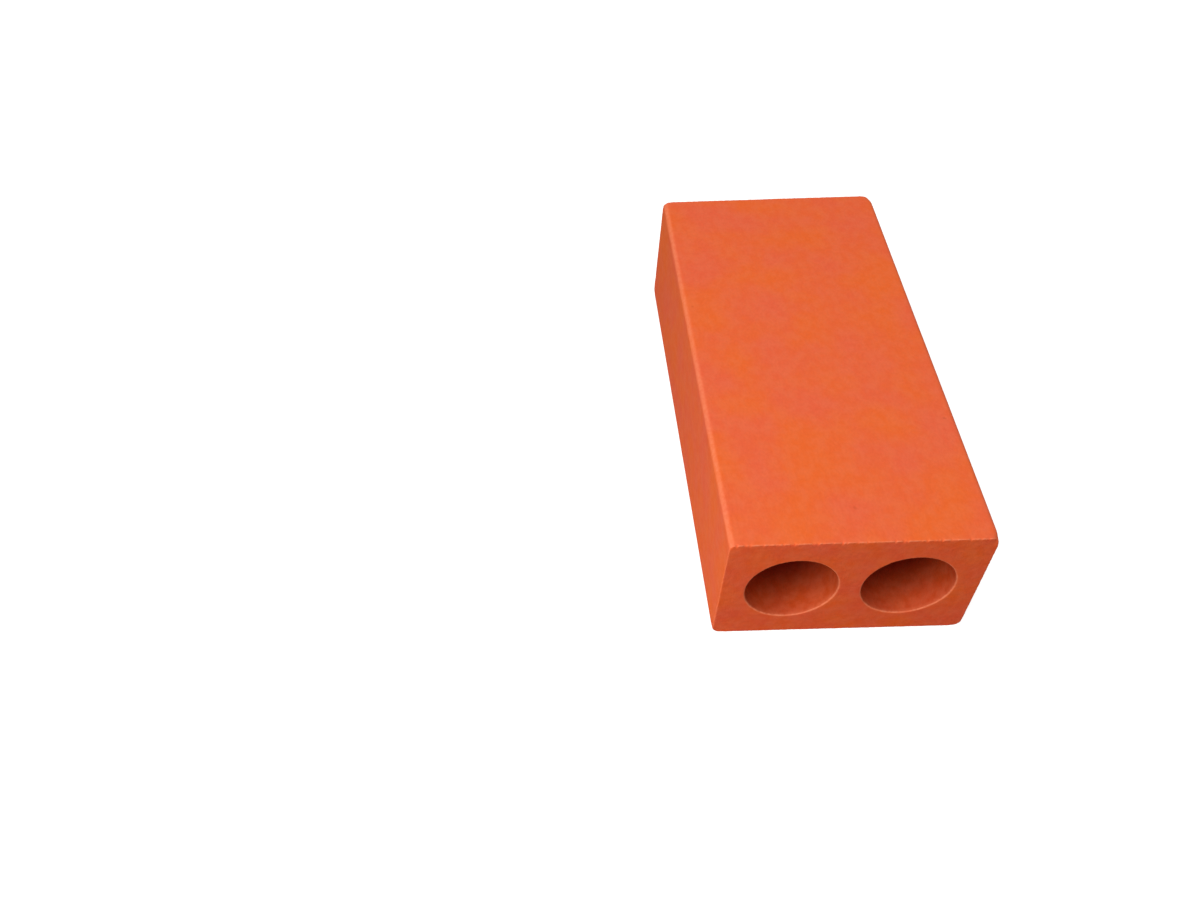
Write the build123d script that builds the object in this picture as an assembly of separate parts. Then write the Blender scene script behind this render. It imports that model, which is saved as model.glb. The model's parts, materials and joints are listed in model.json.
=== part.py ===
from build123d import *

import os

# A perforated clay brick: extruded, wire-cut and fired, with two round cores along its length.
# The frame is the brick as it lies on its bed face: +X across the width, +Y along the length,
# +Z up, with the origin at the middle of the bed face. Lengths are in millimetres.

# Size of the fired unit
length = 220.0
width = 105.0
height = 60.0

# Round cores, left by the mandrels in the die
core_diameter = 37.5
core_pitch = 47.25
core_count = 2

# Edges: the long ones are rounded by the die, and the cut ones are only worn
arris_radius = 2.4
cut_edge_radius = 0.5
core_lip_radius = 0.7


def column_section():
    """The die's opening: a rectangle with round corners, with the mandrels taken out."""
    outline = RectangleRounded(width, height, arris_radius)
    cores = GridLocations(core_pitch, 0, core_count, 1) * Circle(core_diameter / 2)
    return outline - cores


def clay_column():
    """The column of clay at one brick's length, lying on its bed face."""
    start = Plane.XZ.offset(-length / 2)
    column = extrude(start * column_section(), amount=length)
    return Pos(Z=height / 2) * column


def core_mouths(brick):
    """The round edges where the cores leave the two cut ends. The die's corners are round too, but
    much tighter."""
    circles = brick.edges().filter_by(GeomType.CIRCLE)
    return circles.filter_by(lambda edge: edge.radius > arris_radius)


def end_outlines(brick):
    """The outer edges of the two cut ends."""
    edges = []
    for end in (brick.faces().sort_by(Axis.Y)[0], brick.faces().sort_by(Axis.Y)[-1]):
        edges += end.outer_wire().edges()
    return edges


def clay_brick():
    """The column, with the wire-cut ends and the core mouths worn round."""
    brick = clay_column()
    brick = fillet(core_mouths(brick), core_lip_radius)
    return fillet(end_outlines(brick), cut_edge_radius)


os.makedirs("parts", exist_ok=True)
brick = clay_brick()
export_step(brick, "parts/brick_body.step")
print("brick_body", round(brick.volume), "mm3", brick.bounding_box())
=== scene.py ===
import json
import math

import bpy
from mathutils import Matrix, Vector


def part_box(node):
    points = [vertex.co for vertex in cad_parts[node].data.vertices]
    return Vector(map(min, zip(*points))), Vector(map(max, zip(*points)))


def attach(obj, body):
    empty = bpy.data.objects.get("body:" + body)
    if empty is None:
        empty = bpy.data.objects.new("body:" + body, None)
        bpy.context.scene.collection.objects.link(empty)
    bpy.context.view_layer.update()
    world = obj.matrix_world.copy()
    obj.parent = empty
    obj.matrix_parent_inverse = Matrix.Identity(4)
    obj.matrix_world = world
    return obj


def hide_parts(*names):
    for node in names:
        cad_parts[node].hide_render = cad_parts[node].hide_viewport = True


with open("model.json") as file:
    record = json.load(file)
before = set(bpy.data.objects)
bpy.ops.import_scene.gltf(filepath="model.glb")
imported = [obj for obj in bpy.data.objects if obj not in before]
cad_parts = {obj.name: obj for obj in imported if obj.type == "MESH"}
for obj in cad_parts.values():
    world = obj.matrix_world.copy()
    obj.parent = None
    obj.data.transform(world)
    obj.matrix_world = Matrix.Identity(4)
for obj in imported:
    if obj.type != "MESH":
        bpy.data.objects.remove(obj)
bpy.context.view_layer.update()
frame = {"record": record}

# The brick is one piece of red clay: pushed through a die past two round mandrels, cut to length
# with a wire, dried and fired. The die leaves round long edges and a close skin on the long faces,
# and the wire leaves open ends, whose edges and core mouths wear unevenly.
millimetre = 0.001
lowest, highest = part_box("brick_body")
mounts = {mount["name"]: mount for mount in frame["record"]["mounts"]}
core_gap = Vector(mounts["core_right"]["pos_m"]) - Vector(mounts["core_left"]["pos_m"])
arris_radius = 2.4 * millimetre

brick_sizes = {
    "Length": highest[1] - lowest[1],
    "Width": highest[0] - lowest[0],
    "Height": highest[2] - lowest[2],
    "Core Diameter": 2 * mounts["core_left"]["dims"]["r_mm"] * millimetre,
    "Core Pitch": core_gap.length,
    "Arris Radius": arris_radius,
    "Cut Edge Radius": 0.5 * millimetre,
    "Core Lip Radius": 0.7 * millimetre,
    "Edge Crumble": 0.5,
    "Mouth Crumble": 0.2,
    "Near Edge Tear": 4.0,
    "Least Radius": 0.1 * millimetre,
    "Chip Depth": 0.35 * millimetre,
    "Corner Wear": 0.6 * millimetre,
    "Top Right Corner Wear": 1.5 * millimetre,
    "Corner Reach": 6.0 * millimetre,
    "Upright Edge Rub": 0.5,
    # The arrises get wear and painted highlight, more on the left, which faces the light.
    "Left Arris Rub And Highlight": 0.8,
    "Right Arris Rub And Highlight": 0.25,
    # Painted light on the core walls just behind the mouths, and how far in it reaches.
    "Painted Wall Light": 0.3,
    "Painted Wall Light Reach": 2.6 * millimetre,
    "Kiln Warp": 0.2 * millimetre,
    "Clay Relief": 0.06 * millimetre,
}

tree = bpy.data.node_groups.new("Extruded clay brick", "GeometryNodeTree")
for size_name in brick_sizes:
    tree.interface.new_socket(size_name, in_out="INPUT", socket_type="NodeSocketFloat")
for clay_name in ("Die Face Clay", "Cut Face Clay", "Core Wall Clay"):
    tree.interface.new_socket(clay_name, in_out="INPUT", socket_type="NodeSocketMaterial")
tree.interface.new_socket("Brick", in_out="OUTPUT", socket_type="NodeSocketGeometry")
given = tree.nodes.new("NodeGroupInput").outputs


def place(where, kind, inputs, **options):
    """Puts a node in a tree, sets its options, and fills its sockets with values or with outputs."""
    node = where.nodes.new(kind)
    for option, value in options.items():
        setattr(node, option, value)
    for socket, value in inputs.items():
        if isinstance(value, bpy.types.NodeSocket):
            where.links.new(value, node.inputs[socket])
        else:
            node.inputs[socket].default_value = value
    return node


def number(operation, first, second=0.0, where=tree):
    """One sum of two numbers, in the brick's tree unless another is named."""
    return place(where, "ShaderNodeMath", {0: first, 1: second}, operation=operation).outputs[0]


def vector(operation, first, second=(0, 0, 0)):
    """One sum of two vectors."""
    node = place(tree, "ShaderNodeVectorMath", {0: first, 1: second}, operation=operation)
    return node.outputs[0]


def scaled(direction, factor, where=tree):
    """A vector or a colour times a number."""
    node = place(where, "ShaderNodeVectorMath", {0: direction, "Scale": factor}, operation="SCALE")
    return node.outputs[0]


def length_of(reach):
    """How long a vector is."""
    node = place(tree, "ShaderNodeVectorMath", {0: reach}, operation="LENGTH")
    return node.outputs["Value"]


def split(value, where=tree):
    """The three parts of a vector."""
    return place(where, "ShaderNodeSeparateXYZ", {0: value}).outputs


def joined(x, y, z, where=tree):
    """A vector from its three parts."""
    return place(where, "ShaderNodeCombineXYZ", {0: x, 1: y, 2: z}).outputs[0]


def gathered(parts):
    """Several geometries as one."""
    together = place(tree, "GeometryNodeJoinGeometry", {})
    for part in parts:
        tree.links.new(part, together.inputs[0])
    return together.outputs[0]


def ramp(value, span, top=1.0, where=tree):
    """Zero up to the start of a span, top from its end on, and an S-shaped rise between them."""
    places = {"Value": value, "From Min": span[0], "From Max": span[1], "To Min": 0.0, "To Max": top}
    return place(where, "ShaderNodeMapRange", places, interpolation_type="SMOOTHSTEP").outputs[0]


seed_direction = (1.0, 0.7, 0.4)
noise_middle = 0.5


def noise(point, wavelength, detail, seed):
    """Soft noise from 0 to 1 with a wavelength in metres, moved by its seed."""
    shift = tuple(seed * share for share in seed_direction)
    node = place(tree, "ShaderNodeTexNoise", {
        "Vector": vector("ADD", point, shift), "Scale": 1 / wavelength, "Detail": detail})
    return node.outputs["Fac"]


# The section lies in the tree's XY plane and the length runs along Z, because loops are filled there.
half_length = number("MULTIPLY", given["Length"], 0.5)
half_width = number("MULTIPLY", given["Width"], 0.5)
half_height = number("MULTIPLY", given["Height"], 0.5)
core_radius = number("MULTIPLY", given["Core Diameter"], 0.5)
core_offset = number("MULTIPLY", given["Core Pitch"], 0.5)
here = place(tree, "GeometryNodeInputPosition", {}).outputs[0]
along = split(place(tree, "GeometryNodeInputTangent", {}).outputs[0])
outward = joined(along[1], number("MULTIPLY", along[0], -1), 0)

crumb_noise = {"wavelength": 1.3 * millimetre, "detail": 2.0, "seed": 3.1}
crumb_span = (0.3, 0.7)
chip_noise = {"wavelength": 13 * millimetre, "detail": 1.0, "seed": 7.7}
chip_span = (0.66, 0.78)
top_edge_depth = 0.1 * millimetre


def worn_radius(point, end_sign, nominal, crumble):
    """How far an end's edge has worn at one point of its outline: crumbly everywhere, most where the
    wire tore the near end's top edge, and in chips."""
    section_x, section_y, _ = split(point)
    on_outline = joined(section_x, section_y, number("MULTIPLY", end_sign, half_length))
    crumbs = number("SUBTRACT", ramp(noise(on_outline, **crumb_noise), crumb_span), noise_middle)
    on_top = number("GREATER_THAN", section_y, number("SUBTRACT", half_height, top_edge_depth))
    torn = number("MULTIPLY", on_top, number("GREATER_THAN", end_sign, 0.0))
    roughest = number("ADD", crumble, number("MULTIPLY", torn, given["Near Edge Tear"]))
    uneven = number("ADD", number("MULTIPLY", crumbs, roughest), 1.0)
    chipped = ramp(noise(on_outline, **chip_noise), chip_span)
    chips = number("MULTIPLY", chipped, given["Chip Depth"])
    worn = number("ADD", number("MULTIPLY", nominal, uneven), chips)
    return number("MAXIMUM", worn, given["Least Radius"])


rows_along_length = 80
row_crowding = 2.3
rim_width = 0.5 * millimetre


def skin(outline, points, nominal, crumble, into_clay):
    """The clay's skin along one outline, from end to end, rounded into both cut faces."""
    grid = place(tree, "GeometryNodeMeshGrid", {
        "Size X": 1.0, "Size Y": 1.0, "Vertices X": points + 1, "Vertices Y": rows_along_length})
    across, run, _ = split(here)
    nearest = number("ROUND", number("MULTIPLY", number("ADD", across, 0.5), points))
    column = number("MODULO", nearest, points)

    def picked(value):
        """A value of the outline at this column's point."""
        node = place(tree, "GeometryNodeSampleIndex", {
            "Geometry": outline, "Value": value, "Index": column}, data_type="FLOAT_VECTOR")
        return node.outputs[0]

    # The rows crowd towards both ends. The last but one reaches the cut, and the last lies on it.
    last_step = (rows_along_length - 1) / 2
    end_sign = number("SIGN", run)
    step = number("MULTIPLY", number("ABSOLUTE", run), 2 * last_step)
    from_cut = number("MAXIMUM", number("SUBTRACT", 1.0, number("DIVIDE", step, last_step - 1)), 0.0)
    cut_room = number("MULTIPLY", number("POWER", from_cut, row_crowding), half_length)
    lift = number("MULTIPLY", end_sign, number("SUBTRACT", half_length, cut_room))
    on_cut = number("GREATER_THAN", step, last_step - 0.5)

    radius = worn_radius(picked(here), end_sign, nominal, crumble)
    reach = number("MAXIMUM", number("SUBTRACT", radius, cut_room), 0.0)
    fall = number("SUBTRACT", number("POWER", radius, 2.0), number("POWER", reach, 2.0))
    rounding = number("SUBTRACT", radius, number("SQRT", fall))
    inset = number("ADD", rounding, number("MULTIPLY", on_cut, rim_width))
    offset = scaled(picked(outward), number("MULTIPLY", inset, into_clay))
    on_section = vector("ADD", picked(here), offset)
    tube = place(tree, "GeometryNodeSetPosition", {
        "Geometry": grid.outputs["Mesh"],
        "Position": vector("ADD", on_section, joined(0, 0, lift))}).outputs[0]
    if into_clay > 0:
        tube = place(tree, "GeometryNodeFlipFaces", {"Mesh": tube}).outputs[0]
    return tube


def mouth(outline, nominal, crumble, into_clay, end_sign):
    """The loop on one cut face where one skin stops."""
    reach = number("ADD", worn_radius(here, end_sign, nominal, crumble), rim_width)
    return place(tree, "GeometryNodeSetPosition", {
        "Geometry": outline,
        "Offset": scaled(outward, number("MULTIPLY", reach, into_clay))}).outputs[0]


points_round_outline = 680
points_round_core = 180
points_round_arris = 12
cut_edge = (given["Cut Edge Radius"], given["Edge Crumble"])
core_lip = (given["Core Lip Radius"], given["Mouth Crumble"])

square_section = place(tree, "GeometryNodeCurvePrimitiveQuadrilateral", {
    "Width": given["Width"], "Height": given["Height"]}).outputs[0]
round_section = place(tree, "GeometryNodeFilletCurve", {
    "Curve": square_section, "Radius": given["Arris Radius"],
    "Count": points_round_arris}, mode="POLY").outputs[0]
die_opening = place(tree, "GeometryNodeResampleCurve", {
    "Curve": round_section, "Count": points_round_outline}, mode="COUNT").outputs[0]

skins = [skin(die_opening, points_round_outline, *cut_edge, -1.0)]
core_rings = []
for side in (-1, 1):
    circle = place(tree, "GeometryNodeCurvePrimitiveCircle", {
        "Resolution": points_round_core, "Radius": core_radius}, mode="RADIUS").outputs[0]
    ring = place(tree, "GeometryNodeSetPosition", {
        "Geometry": circle, "Offset": joined(number("MULTIPLY", core_offset, side), 0, 0)}).outputs[0]
    core_rings.append(ring)
    skins.append(skin(ring, points_round_core, *core_lip, 1.0))

end_cell = 1.3 * millimetre
end_margin = 3.2 * millimetre


def cut_face(end_sign):
    """One cut face: square cells inside, and a rim of triangles out to the outline and the cores."""
    loops = [mouth(die_opening, *cut_edge, -1.0, end_sign)]
    loops += [mouth(ring, *core_lip, 1.0, end_sign) for ring in core_rings]
    cells_wide = round((brick_sizes["Width"] - 2 * end_margin) / end_cell)
    cells_high = round((brick_sizes["Height"] - 2 * end_margin) / end_cell)
    grid = place(tree, "GeometryNodeMeshGrid", {
        "Size X": number("SUBTRACT", given["Width"], 2 * end_margin),
        "Size Y": number("SUBTRACT", given["Height"], 2 * end_margin),
        "Vertices X": cells_wide + 1, "Vertices Y": cells_high + 1}).outputs["Mesh"]
    section_x, section_y, _ = split(here)
    core_middle = joined(core_offset, 0, 0)
    from_core = vector("SUBTRACT", joined(number("ABSOLUTE", section_x), section_y, 0), core_middle)
    over_core = number("LESS_THAN", length_of(from_core), number("ADD", core_radius, end_margin))
    cells = place(tree, "GeometryNodeDeleteGeometry", {
        "Geometry": grid, "Selection": over_core}, domain="FACE").outputs[0]
    # An edge on the rim of the cells has fewer than two faces beside it.
    faces_beside = place(tree, "GeometryNodeInputMeshEdgeNeighbors", {}).outputs[0]
    on_rim = number("LESS_THAN", faces_beside, 2.0)
    rim = place(tree, "GeometryNodeMeshToCurve", {"Mesh": cells, "Selection": on_rim}).outputs[0]
    filled = place(tree, "GeometryNodeFillCurve", {
        "Curve": gathered([rim] + loops[::-1])}, mode="TRIANGLES").outputs[0]
    face = place(tree, "GeometryNodeTransform", {
        "Geometry": gathered([filled, cells]),
        "Translation": joined(0, 0, number("MULTIPLY", half_length, end_sign))}).outputs[0]
    if end_sign < 0:
        face = place(tree, "GeometryNodeFlipFaces", {"Mesh": face}).outputs[0]
    return face


weld_distance = 0.002 * millimetre
green_brick = gathered(skins + [cut_face(-1.0), cut_face(1.0)])
welded = place(tree, "GeometryNodeMergeByDistance", {
    "Geometry": green_brick, "Distance": weld_distance}).outputs[0]
laid = place(tree, "GeometryNodeTransform", {
    "Geometry": welded, "Translation": joined(0, 0, half_height),
    "Rotation": (math.radians(90), 0, 0)}).outputs[0]

# Distances from the ends, sides and cores, from which the worn edges, the painted highlight and light,
# and the three finishes are told.
brick_x, brick_y, brick_z = split(here)
end_room = number("SUBTRACT", half_length, number("ABSOLUTE", brick_y))
side_room = number("SUBTRACT", half_width, number("ABSOLUTE", brick_x))
core_side = number("SUBTRACT", number("ABSOLUTE", brick_x), core_offset)
core_rise = number("SUBTRACT", brick_z, half_height)
bed_room = number("SUBTRACT", half_height, number("ABSOLUTE", core_rise))
axis_square = number("ADD", number("POWER", core_side, 2.0), number("POWER", core_rise, 2.0))
core_room = number("SUBTRACT", number("SQRT", axis_square), core_radius)
on_right = number("GREATER_THAN", brick_x, 0.0)


def near(distance, span):
    """One up to the start of a span, none from its end on."""
    return number("SUBTRACT", 1.0, ramp(distance, span))


# The cut edges are rubbed pale in patches, the upright ones less.
cut_wear_span = (0.1 * millimetre, 0.6 * millimetre)
patch_noise = {"wavelength": 2.6 * millimetre, "detail": 2.0, "seed": 5.5}
patch_span = (0.35, 0.65)
least_patch = 0.5
outer_edge = number("MAXIMUM", number("MINIMUM", side_room, bed_room), end_room)
patches = ramp(noise(here, **patch_noise), patch_span, 1.0 - least_patch)
patchy_wear = number("MULTIPLY", near(outer_edge, cut_wear_span), number("ADD", patches, least_patch))
upright = number("LESS_THAN", side_room, bed_room)
less_rubbed = number("SUBTRACT", given["Upright Edge Rub"], 1.0)
cut_rub = number("ADD", 1.0, number("MULTIPLY", upright, less_rubbed))
cut_wear = number("MULTIPLY", patchy_wear, cut_rub)

# The arrises are painted paler along the middle of their round: partly wear, and partly painted
# highlight, more on the left ones, which face the light, than on the right ones, which face away from
# it.
arris_pale_span = (0.5 * arris_radius, 0.95 * arris_radius)
less_lit_right = number("SUBTRACT", given["Right Arris Rub And Highlight"], given["Left Arris Rub And Highlight"])
arris_rub_and_highlight = number("ADD", given["Left Arris Rub And Highlight"], number("MULTIPLY", on_right, less_lit_right))
arris_wear_and_highlight = number("MULTIPLY", arris_rub_and_highlight, near(number("ADD", side_room, bed_room), arris_pale_span))

# The core mouths are rubbed pale. The core walls for a few millimetres behind them are painted paler:
# painted light where light comes into the cores.
mouth_wear_span = (0.2 * millimetre, 0.8 * millimetre)
painted_light_wall_reach = 0.5 * millimetre
mouth_wear = near(number("MAXIMUM", core_room, end_room), mouth_wear_span)
past_lip = number("DIVIDE", end_room, given["Painted Wall Light Reach"])
on_wall = number("LESS_THAN", core_room, painted_light_wall_reach)
wall_light_share = number("MULTIPLY", given["Painted Wall Light"], on_wall)
painted_wall_light = number("MULTIPLY", wall_light_share, near(past_lip, (0.0, 1.0)))

# One pale share: real wear on the cut edges and mouths, painted highlight on the arrises and painted
# light on the core walls.
edge_wear_and_light = cut_wear
for other_pale_mark in (mouth_wear, arris_wear_and_highlight, painted_wall_light):
    edge_wear_and_light = number("MAXIMUM", edge_wear_and_light, other_pale_mark)


def kept(geometry, name, value):
    """A geometry that keeps one more value at its points, for its finishes."""
    return place(tree, "GeometryNodeStoreNamedAttribute", {
        "Geometry": geometry, "Name": name, "Value": value},
        data_type="FLOAT", domain="POINT").outputs[0]


# Further into the cores the clay is painted darker: painted shade inside the cores.
painted_shade_span = (14 * millimetre, 34 * millimetre)
marked = kept(laid, "edge_wear_and_light", edge_wear_and_light)
marked = kept(marked, "depth", ramp(end_room, painted_shade_span))

# The kiln warps the brick a little, and the clay's skin isn't quite even.
warp_wavelength = 110 * millimetre
relief_noise = {"wavelength": 9 * millimetre, "detail": 2.0, "seed": 1.3}
drift = place(tree, "ShaderNodeTexNoise", {
    "Vector": here, "Scale": 1 / warp_wavelength, "Detail": 0.0}).outputs["Color"]
warp = scaled(vector("SUBTRACT", drift, (noise_middle,) * 3), given["Kiln Warp"])
unevenness = number("SUBTRACT", noise(here, **relief_noise), noise_middle)
normal = place(tree, "GeometryNodeInputNormal", {}).outputs[0]
relief = scaled(normal, number("MULTIPLY", unevenness, given["Clay Relief"]))

# The corners are dulled most at their tips, and the upper ones on the right more than the others.
tip_sharpness = 2.0
corner_room = length_of(joined(side_room, end_room, bed_room))
near_corner = number("SUBTRACT", 1.0, number("DIVIDE", corner_room, given["Corner Reach"]))
near_tip = number("POWER", number("MAXIMUM", near_corner, 0.0), tip_sharpness)
outwards = vector("NORMALIZE", vector("SIGN", joined(brick_x, brick_y, core_rise)))
top_right = number("MULTIPLY", on_right, number("GREATER_THAN", core_rise, 0.0))
more_worn = number("SUBTRACT", given["Top Right Corner Wear"], given["Corner Wear"])
corner_wear = number("ADD", given["Corner Wear"], number("MULTIPLY", top_right, more_worn))
dulling = number("MULTIPLY", number("MULTIPLY", near_tip, corner_wear), -1.0)
fired = place(tree, "GeometryNodeSetPosition", {
    "Geometry": marked,
    "Offset": vector("ADD", vector("ADD", warp, relief), scaled(outwards, dulling))}).outputs[0]
smooth = place(tree, "GeometryNodeSetShadeSmooth", {"Geometry": fired}).outputs[0]


def finished(geometry, clay_name, faces=True):
    """A geometry whose chosen faces show one of the clay's finishes."""
    return place(tree, "GeometryNodeSetMaterial", {
        "Geometry": geometry, "Selection": faces, "Material": given[clay_name]}).outputs[0]


# A face that looks along the brick is cut, and another one close round a core is the core's wall.
cut_squareness = 0.7
core_wall_reach = 1.5 * millimetre
squareness = number("ABSOLUTE", split(normal)[1])
facing_end = number("GREATER_THAN", squareness, cut_squareness)
by_core = number("LESS_THAN", core_room, core_wall_reach)
core_wall = number("MULTIPLY", by_core, number("LESS_THAN", squareness, cut_squareness))
made = place(tree, "GeometryNodeRealizeInstances", {"Geometry": smooth}).outputs[0]
made = finished(made, "Die Face Clay")
made = finished(made, "Cut Face Clay", facing_end)
made = finished(made, "Core Wall Clay", core_wall)
place(tree, "NodeGroupOutput", {"Brick": made})

# The clay's grain, which its three finishes share: blotches from the kiln, a mottle, specks and fine
# grains, made of soft noise, and a few pits where grit has fallen out, made of cells.
clay_grain = bpy.data.node_groups.new("Clay grain", "ShaderNodeTree")
for socket_name in ("Blotch Size", "Grain Size", "Pit Size", "Draw Length"):
    clay_grain.interface.new_socket(socket_name, in_out="INPUT", socket_type="NodeSocketFloat")
for socket_name in ("Blotches", "Mottle", "Specks", "Pits", "Height"):
    clay_grain.interface.new_socket(socket_name, in_out="OUTPUT", socket_type="NodeSocketFloat")
asked = clay_grain.nodes.new("NodeGroupInput").outputs


def grain_noise(point, size, detail):
    """Soft noise from 0 to 1 whose lumps have this size."""
    scale = number("DIVIDE", 1.0, size, clay_grain)
    node = place(clay_grain, "ShaderNodeTexNoise", {"Vector": point, "Scale": scale, "Detail": detail})
    return node.outputs["Fac"]


middle_span = (0.3, 0.7)
blotch_detail = 5.0
mottle_detail = 4.0
mottle_in_grains = 3.0
grain_detail = 3.0
fine_detail = 2.0
fine_in_grains = 0.4
fine_height = 0.5
pit_rim = (0.20, 0.06)
cells_without_pit = 0.98
pit_depth = 1.2

clay_point = place(clay_grain, "ShaderNodeTexCoord", {}).outputs["Object"]
clay_x, clay_y, clay_z = split(clay_point, clay_grain)
shortened_y = number("DIVIDE", clay_y, asked["Draw Length"], clay_grain)
drawn_point = joined(clay_x, shortened_y, clay_z, clay_grain)

blotches = ramp(
    grain_noise(clay_point, asked["Blotch Size"], blotch_detail), middle_span, where=clay_grain)
mottle_size = number("MULTIPLY", asked["Grain Size"], mottle_in_grains, clay_grain)
mottle = ramp(grain_noise(drawn_point, mottle_size, mottle_detail), middle_span, where=clay_grain)
grains = grain_noise(drawn_point, asked["Grain Size"], grain_detail)
specks = ramp(grains, middle_span, where=clay_grain)

pit_cells = place(clay_grain, "ShaderNodeTexVoronoi", {
    "Vector": clay_point, "Scale": number("DIVIDE", 1.0, asked["Pit Size"], clay_grain)}).outputs
pit_dots = ramp(pit_cells["Distance"], pit_rim, where=clay_grain)
cell_pick = split(pit_cells["Color"], clay_grain)[0]
pitted = number("GREATER_THAN", cell_pick, cells_without_pit, clay_grain)
pits = number("MULTIPLY", pit_dots, pitted, clay_grain)

fine_size = number("MULTIPLY", asked["Grain Size"], fine_in_grains, clay_grain)
fine = grain_noise(clay_point, fine_size, fine_detail)
grain_rise = number("ADD", grains, number("MULTIPLY", fine, fine_height, clay_grain), clay_grain)
pit_fall = number("MULTIPLY", pits, pit_depth, clay_grain)
place(clay_grain, "NodeGroupOutput", {
    "Blotches": blotches, "Mottle": mottle, "Specks": specks, "Pits": pits,
    "Height": number("SUBTRACT", grain_rise, pit_fall, clay_grain)})


def linear(red, green, blue):
    """A colour as the renderer counts it, from the 0 to 255 scale that a colour card uses, by the
    screen's standard curve: a straight foot, and a power above it."""
    foot_end = 0.04045
    foot_slope = 12.92
    shift = 0.055
    power = 2.4
    parts = []
    for part in (red / 255, green / 255, blue / 255):
        if part > foot_end:
            parts.append(((part + shift) / (1 + shift)) ** power)
        else:
            parts.append(part / foot_slope)
    return (*parts, 1.0)


def bare(holder):
    """The emptied node tree of a new material or world."""
    holder.use_nodes = True
    holder.node_tree.nodes.clear()
    return holder.node_tree


# A pale clay, for the mottle, for worn edges, and for painted highlight and painted light.
pale_clay = linear(240, 141, 103)
mottle_share = 0.14
speck_strength = 0.05
pit_shade_share = 0.15
pit_shade_brightness = 0.45
least_pale_edge = 0.4
pale_edge_on_specks = 0.4
clay_roughness = 0.88
clay_gloss = 0.04


def fired_clay(name, orange, rose, grain, relief, deep_shade=None):
    """Fired clay of one finish: an orange body with rose blotches, paler where its edges are worn and
    where highlight and light are painted on, and, in the cores, painted darker further in as painted
    shade."""
    material = bpy.data.materials.new(name)
    shader = bare(material)
    found = place(shader, "ShaderNodeGroup", grain, node_tree=clay_grain).outputs

    def blend(share, first, second):
        """A mix of two colours."""
        node = place(shader, "ShaderNodeMix", {0: share, 6: first, 7: second}, data_type="RGBA")
        return node.outputs[2]

    def mark(attribute):
        """A value that the brick keeps at its points."""
        return place(shader, "ShaderNodeAttribute", {}, attribute_name=attribute).outputs["Fac"]

    colour = blend(found["Blotches"], orange, rose)
    colour = blend(number("MULTIPLY", found["Mottle"], mottle_share, shader), colour, pale_clay)
    # Painted shade: darker further into the cores.
    if deep_shade:
        colour = blend(mark("depth"), colour, deep_shade)
    uneven = number("SUBTRACT", found["Specks"], noise_middle, shader)
    speckle = number("MULTIPLY", uneven, speck_strength, shader)
    colour = scaled(colour, number("ADD", speckle, 1.0, shader), shader)
    # The pits are painted darker: painted shade inside them.
    pit_shade_colour = (*(part * pit_shade_brightness for part in orange[:3]), 1.0)
    colour = blend(number("MULTIPLY", found["Pits"], pit_shade_share, shader), colour, pit_shade_colour)
    # Paler at the edges: real wear, with painted highlight on the arrises and painted light in the
    # core mouths.
    speck_pale_edge = number("MULTIPLY", found["Specks"], pale_edge_on_specks, shader)
    edge_pale_share = number("ADD", least_pale_edge, speck_pale_edge, shader)
    colour = blend(number("MULTIPLY", mark("edge_wear_and_light"), edge_pale_share, shader), colour, pale_clay)
    bump = place(shader, "ShaderNodeBump", {
        "Height": found["Height"], "Strength": 1.0, "Distance": relief})
    surface = place(shader, "ShaderNodeBsdfPrincipled", {
        "Base Color": colour, "Roughness": clay_roughness, "Specular IOR Level": clay_gloss,
        "Normal": bump.outputs[0]})
    place(shader, "ShaderNodeOutputMaterial", {"Surface": surface.outputs[0]})
    return material


# The die smooths the long faces and draws their grain out, and the wire leaves the ends rougher.
clays = {
    "Die Face Clay": fired_clay(
        "fired clay, die face", linear(237, 105, 48), linear(234, 100, 66),
        {"Blotch Size": 28 * millimetre, "Grain Size": 1.2 * millimetre,
         "Pit Size": 6 * millimetre, "Draw Length": 1.3}, relief=0.12 * millimetre),
    "Cut Face Clay": fired_clay(
        "fired clay, cut face", linear(232, 94, 38), linear(228, 87, 53),
        {"Blotch Size": 18 * millimetre, "Grain Size": 1.4 * millimetre,
         "Pit Size": 5 * millimetre, "Draw Length": 1.0}, relief=0.20 * millimetre),
    # The core walls are painted darker than the faces, and darker still further in: painted shade
    # inside the cores.
    "Core Wall Clay": fired_clay(
        "fired clay, core wall, painted shade", linear(197, 74, 28), linear(193, 70, 33),
        {"Blotch Size": 20 * millimetre, "Grain Size": 1.4 * millimetre,
         "Pit Size": 6 * millimetre, "Draw Length": 1.0}, relief=0.12 * millimetre,
        deep_shade=linear(180, 52, 31)),
}

brick = bpy.data.objects.new("clay_brick", bpy.data.meshes.new("clay_brick"))
bpy.context.scene.collection.objects.link(brick)
maker = brick.modifiers.new("Extruded clay brick", "NODES")
maker.node_group = tree
for item in tree.interface.items_tree:
    if item.name in brick_sizes:
        maker[item.identifier] = brick_sizes[item.name]
    if item.name in clays:
        maker[item.identifier] = clays[item.name]
evaluated = brick.evaluated_get(bpy.context.evaluated_depsgraph_get())
brick.data = bpy.data.meshes.new_from_object(evaluated)
brick.modifiers.remove(maker)
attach(brick, "root")
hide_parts("brick_body")

# The camera stands in front of the cored end, above it and to its left, tipped slightly to one side.
# The lens axis falls left of the photograph's middle, as if it had been cropped.
photo_width = 1190
photo_height = 900
focal_pixels = 1191.51
axis_pixel = (480.0, 469.45)
camera_turn = 0.01418
camera_climb = 0.85385
camera_roll = -0.04032
camera_distance = 0.59206
aim_point = Vector((-0.14959, 0, -0.01644))

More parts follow.
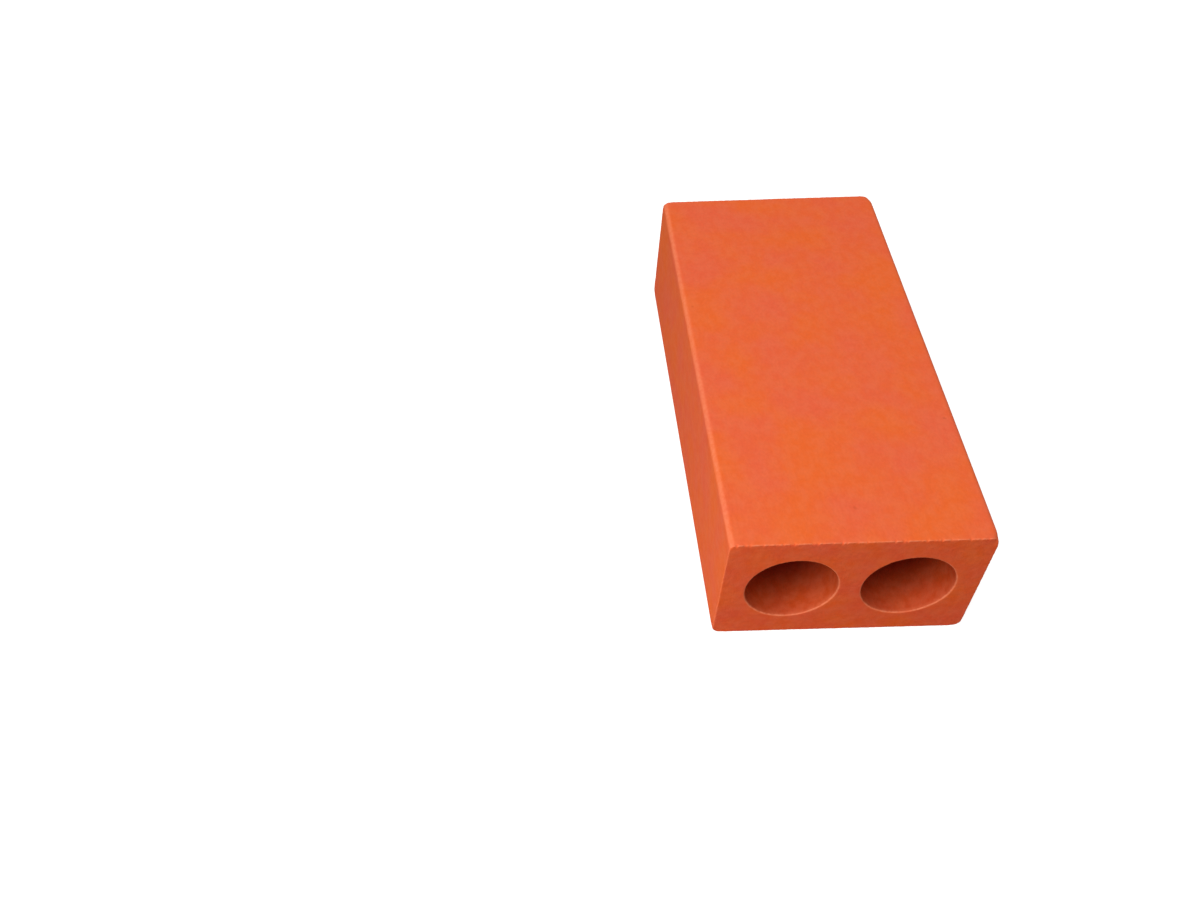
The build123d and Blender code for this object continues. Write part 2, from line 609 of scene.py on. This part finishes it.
back = Vector((
    math.sin(camera_turn) * math.cos(camera_climb),
    -math.cos(camera_turn) * math.cos(camera_climb),
    math.sin(camera_climb)))
right = Vector((math.cos(camera_turn), math.sin(camera_turn), 0))
up = back.cross(right)
rolled_right = math.cos(camera_roll) * right + math.sin(camera_roll) * up
rolled_up = math.cos(camera_roll) * up - math.sin(camera_roll) * right
lens = bpy.data.cameras.new("camera")
lens.sensor_fit = "HORIZONTAL"
lens.sensor_width = 36.0
lens.lens = focal_pixels * lens.sensor_width / photo_width
lens.shift_x = (photo_width / 2 - axis_pixel[0]) / photo_width
lens.shift_y = (axis_pixel[1] - photo_height / 2) / photo_width
lens.clip_start = 10 * millimetre
camera = bpy.data.objects.new("camera", lens)
camera.matrix_world = Matrix.Translation(aim_point + back * camera_distance) @ Matrix((
    rolled_right, rolled_up, back)).transposed().to_4x4()
bpy.context.scene.collection.objects.link(camera)
bpy.context.scene.camera = camera

# A sheet of white paper for a floor. To the light it is grey, and it keeps the brick's soft shadow.
# A glow that is seen and mirrored, but otherwise lights nothing, makes it white.
floor_half = 6.0
floor_grey = (0.4, 0.4, 0.4, 1)
floor_glow = 0.86
floor_mesh = bpy.data.meshes.new("floor")
floor_mesh.from_pydata([
    (-floor_half, -floor_half, 0), (floor_half, -floor_half, 0),
    (floor_half, floor_half, 0), (-floor_half, floor_half, 0)], [], [(0, 1, 2, 3)])
floor = bpy.data.objects.new("floor", floor_mesh)
bpy.context.scene.collection.objects.link(floor)


def shown_share(surroundings):
    """One for rays that show these surroundings, straight, mirrored or through glass, and none for
    those that only light the brick."""
    path = place(surroundings, "ShaderNodeLightPath", {}).outputs
    share = path["Is Camera Ray"]
    for ray in ("Is Glossy Ray", "Is Transmission Ray"):
        share = number("MAXIMUM", share, path[ray], surroundings)
    return share


paper = bpy.data.materials.new("white floor")
sheet = bare(paper)
matt = place(sheet, "ShaderNodeBsdfDiffuse", {"Color": floor_grey}).outputs[0]
glow = place(sheet, "ShaderNodeEmission", {"Color": (1, 1, 1, 1), "Strength": floor_glow})
seen = place(sheet, "ShaderNodeAddShader", {0: matt, 1: glow.outputs[0]})
floor_mix = place(sheet, "ShaderNodeMixShader", {0: shown_share(sheet), 1: matt, 2: seen.outputs[0]})
place(sheet, "ShaderNodeOutputMaterial", {"Surface": floor_mix.outputs[0]})
floor.data.materials.append(paper)

# Plain studio light: an even, slightly warm room, one large soft box above, and a small one low
# beside the brick's near left edge, which lights the side more at its near end.
room_light = 0.33
warm_white = (1.0, 0.95, 0.88, 1.0)
key_direction = Vector((-0.38, -0.31, 0.875)).normalized()
key_distance = 1.9
key_side = 1.1
key_power = 26.8
fill_place = Vector((-0.30, -0.26, 0.09))
fill_aim = Vector((-0.05, -0.10, 0.03))
fill_side = 0.15
fill_power = 0.25

room = bpy.data.worlds.new("white room")
walls = bare(room)
even = place(walls, "ShaderNodeBackground", {"Color": warm_white, "Strength": room_light})
white = place(walls, "ShaderNodeBackground", {"Color": (1, 1, 1, 1), "Strength": 1.0})
room_mix = place(walls, "ShaderNodeMixShader", {
    0: shown_share(walls), 1: even.outputs[0], 2: white.outputs[0]})
place(walls, "ShaderNodeOutputWorld", {"Surface": room_mix.outputs[0]})
bpy.context.scene.world = room


def soft_box(name, stand, aim, side, power):
    """A square lamp that faces its aim and isn't seen itself."""
    lamp = bpy.data.lights.new(name, "AREA")
    lamp.shape = "SQUARE"
    lamp.size = side
    lamp.energy = power
    box = bpy.data.objects.new(name, lamp)
    box.location = stand
    box.rotation_euler = (stand - aim).to_track_quat("Z", "Y").to_euler()
    box.visible_camera = False
    bpy.context.scene.collection.objects.link(box)


soft_box("soft box above", key_direction * key_distance, Vector((0, 0, 0)), key_side, key_power)
soft_box("soft box beside", fill_place, fill_aim, fill_side, fill_power)

bpy.context.scene.view_settings.view_transform = "Standard"
